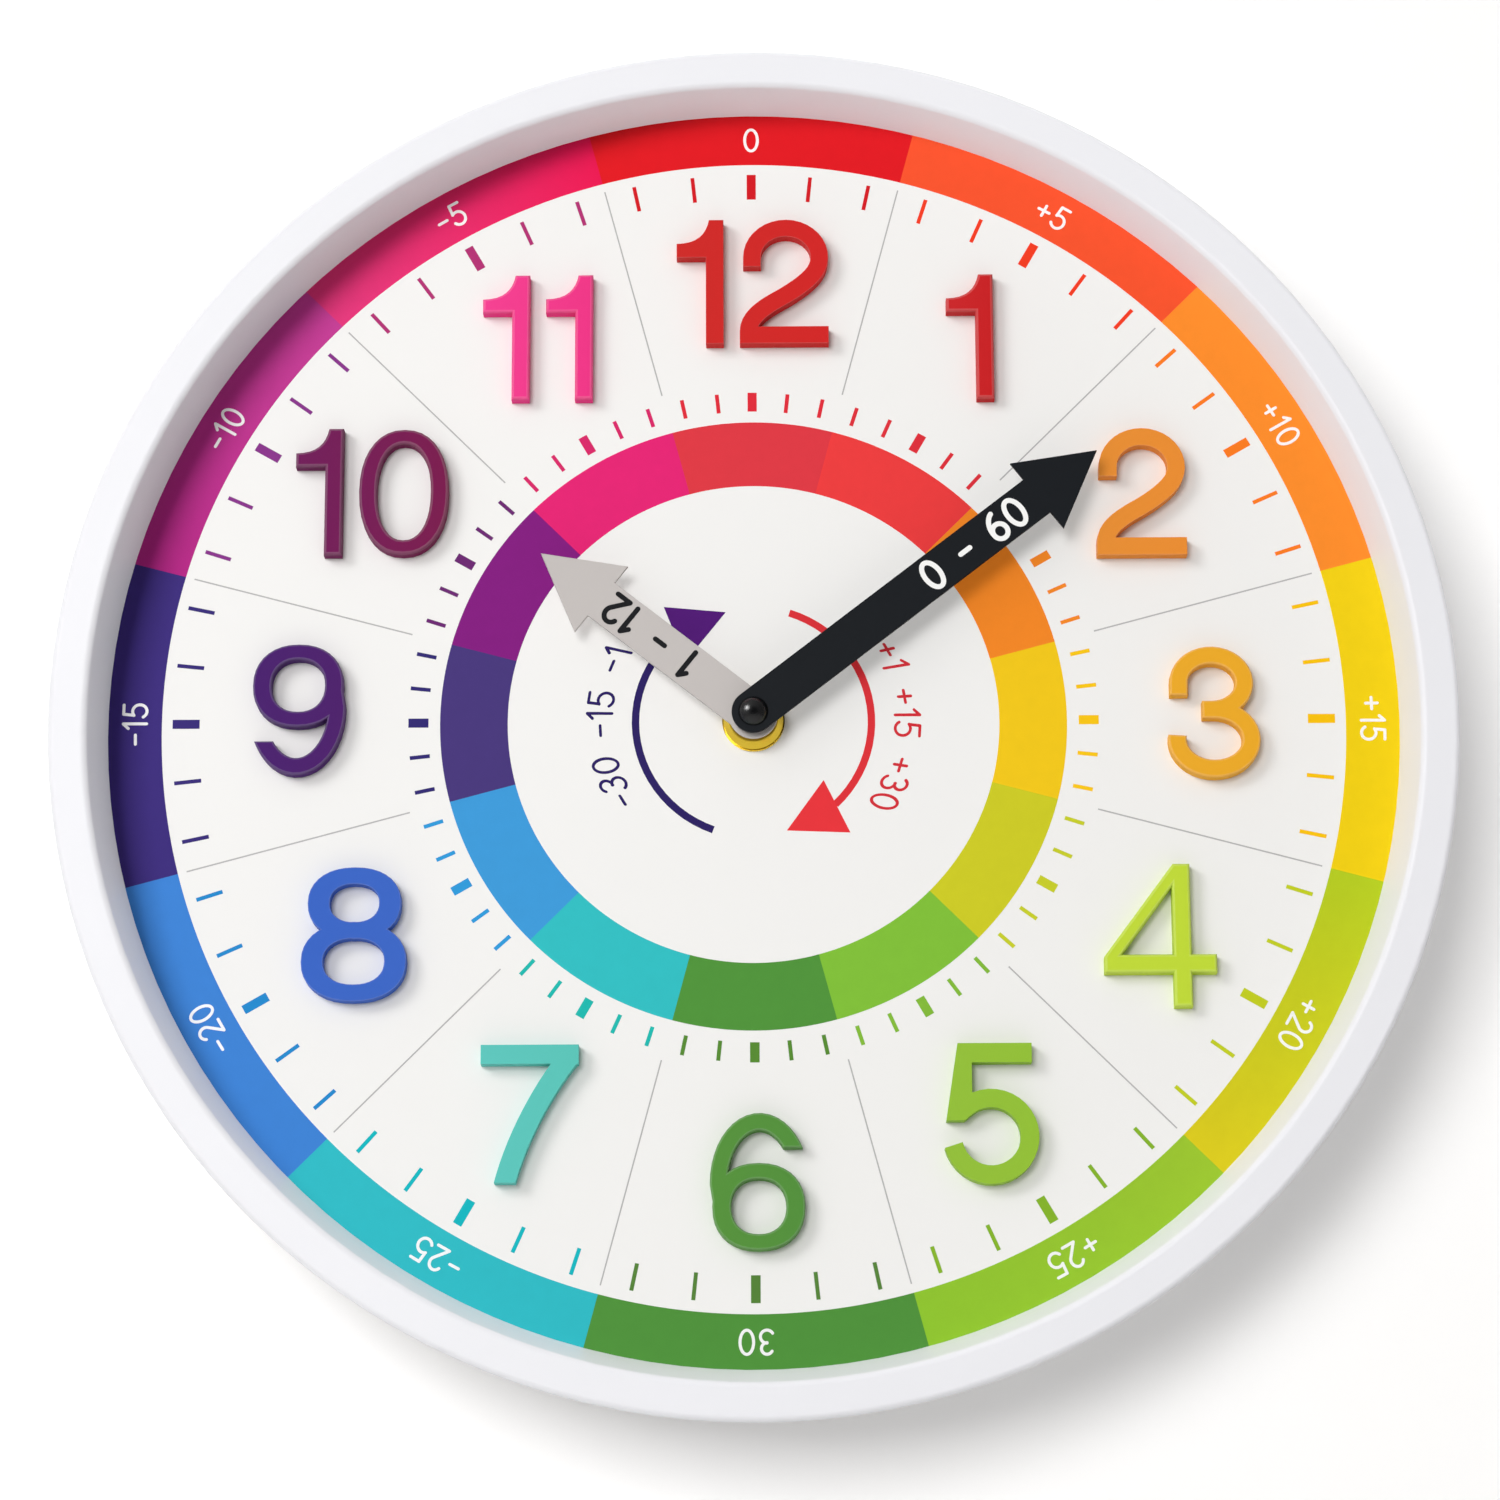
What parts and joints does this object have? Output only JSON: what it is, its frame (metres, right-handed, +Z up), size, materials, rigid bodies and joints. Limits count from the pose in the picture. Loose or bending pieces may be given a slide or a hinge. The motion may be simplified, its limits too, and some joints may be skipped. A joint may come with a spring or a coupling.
{
  "type": "teaching wall clock",
  "caption": "Round open-faced wall clock for teaching time: printed dial with raised coloured numerals, two marked hands, quartz movement with its gear train, keyhole hanger.",
  "frame": {"origin": "centre of the keyhole's entry hole, on the plane of the wall that the clock hangs against", "axes": "+Z up towards twelve o'clock, the dial faces -Y, +Y into the wall, +X to the viewer's right; the spindle's axis is 104 mm below the origin"},
  "size_m": [0.3, 0.0348, 0.3],
  "materials": {
    "case_white": "moulded satin",
    "cover_white": "moulded, fine matt",
    "steel": "plated",
    "dial_white": "printed, matt",
    "numeral_1": "moulded satin",
    "numeral_2": "moulded satin",
    "numeral_3": "moulded satin",
    "numeral_4": "moulded satin",
    "numeral_5": "moulded satin",
    "numeral_6": "moulded satin",
    "numeral_7": "moulded satin",
    "numeral_8": "moulded satin",
    "numeral_9": "moulded satin",
    "numeral_10": "moulded satin",
    "numeral_11": "moulded satin",
    "numeral_12": "moulded satin",
    "movement_black": "moulded, fine matt",
    "acetal": "moulded",
    "brass": "turned",
    "rubber": "matt",
    "minute_black": "printed satin",
    "cap_black": "polished",
    "hour_grey": "printed satin",
    "magnet": "ground",
    "copper": "enamelled wire",
    "circuit": "coated",
    "cell": "printed sleeve"
  },
  "bodies": {
    "root": {"case_rim": "case_white", "back_cover": "cover_white", "case_screws": "steel", "dial_plate": "dial_white", "numeral_1": "numeral_1", "numeral_2": "numeral_2", "numeral_3": "numeral_3", "numeral_4": "numeral_4", "numeral_5": "numeral_5", "numeral_6": "numeral_6", "numeral_7": "numeral_7", "numeral_8": "numeral_8", "numeral_9": "numeral_9", "numeral_10": "numeral_10", "numeral_11": "numeral_11", "numeral_12": "numeral_12", "movement_front": "movement_black", "movement_back": "movement_black", "middle_plate": "acetal", "spindle_bush": "brass", "gasket": "rubber", "washer": "brass", "round_nut": "brass", "stator": "steel", "coil": "copper", "circuit_board": "circuit", "contact_positive": "steel", "contact_negative": "steel"},
    "minute": {"minute_arbor": "brass", "clutch_spring": "steel", "minute_hand": "minute_black", "hand_cap": "cap_black"},
    "hour": {"hour_wheel": "acetal", "hour_hand": "hour_grey"},
    "motion": {"motion_wheel": "acetal"},
    "knob": {"setting_knob": "acetal"},
    "centre": {"centre_wheel": "acetal"},
    "third": {"third_wheel": "acetal"},
    "seconds": {"seconds_wheel": "acetal"},
    "intermediate": {"intermediate_wheel": "acetal"},
    "rotor": {"rotor": "magnet"},
    "battery": {"battery": "cell"}
  },
  "joints": [
    {"name": "minute_turn", "type": "hinge", "parent": "root", "child": "minute", "pos_m": [0, -0.0235, -0.104], "axis": [0, 1, 0], "continuous": true},
    {"name": "hour_turn", "type": "hinge", "parent": "root", "child": "hour", "pos_m": [0, -0.0235, -0.104], "axis": [0, 1, 0], "continuous": true},
    {"name": "motion_turn", "type": "hinge", "parent": "root", "child": "motion", "pos_m": [-0.01182, -0.0235, -0.10192], "axis": [0, 1, 0], "continuous": true},
    {"name": "knob_turn", "type": "hinge", "parent": "root", "child": "knob", "pos_m": [-0.01953, -0.0235, -0.09272], "axis": [0, 1, 0], "continuous": true},
    {"name": "centre_turn", "type": "hinge", "parent": "root", "child": "centre", "pos_m": [0, -0.0235, -0.104], "axis": [0, 1, 0], "continuous": true},
    {"name": "third_turn", "type": "hinge", "parent": "root", "child": "third", "pos_m": [0.00935, -0.0235, -0.104], "axis": [0, 1, 0], "continuous": true},
    {"name": "seconds_turn", "type": "hinge", "parent": "root", "child": "seconds", "pos_m": [0.01385, -0.0235, -0.09621], "axis": [0, 1, 0], "continuous": true},
    {"name": "intermediate_turn", "type": "hinge", "parent": "root", "child": "intermediate", "pos_m": [0.00658, -0.0235, -0.09201], "axis": [0, 1, 0], "continuous": true},
    {"name": "rotor_turn", "type": "hinge", "parent": "root", "child": "rotor", "pos_m": [-0.00134, -0.0235, -0.09201], "axis": [0, 1, 0], "continuous": true},
    {"name": "battery_out", "type": "slide", "parent": "root", "child": "battery", "axis": [0, 1, 0], "range_m": [0, 0.03]}
  ],
  "couplings": [
    {"joint": "hour_turn", "follows": "minute_turn", "ratio": 0.083333},
    {"joint": "motion_turn", "follows": "minute_turn", "ratio": -0.33333},
    {"joint": "knob_turn", "follows": "minute_turn", "ratio": 1},
    {"joint": "intermediate_turn", "follows": "rotor_turn", "ratio": -0.2},
    {"joint": "seconds_turn", "follows": "rotor_turn", "ratio": 0.033333},
    {"joint": "third_turn", "follows": "rotor_turn", "ratio": -0.0041667},
    {"joint": "centre_turn", "follows": "rotor_turn", "ratio": 0.00055556}
  ]
}
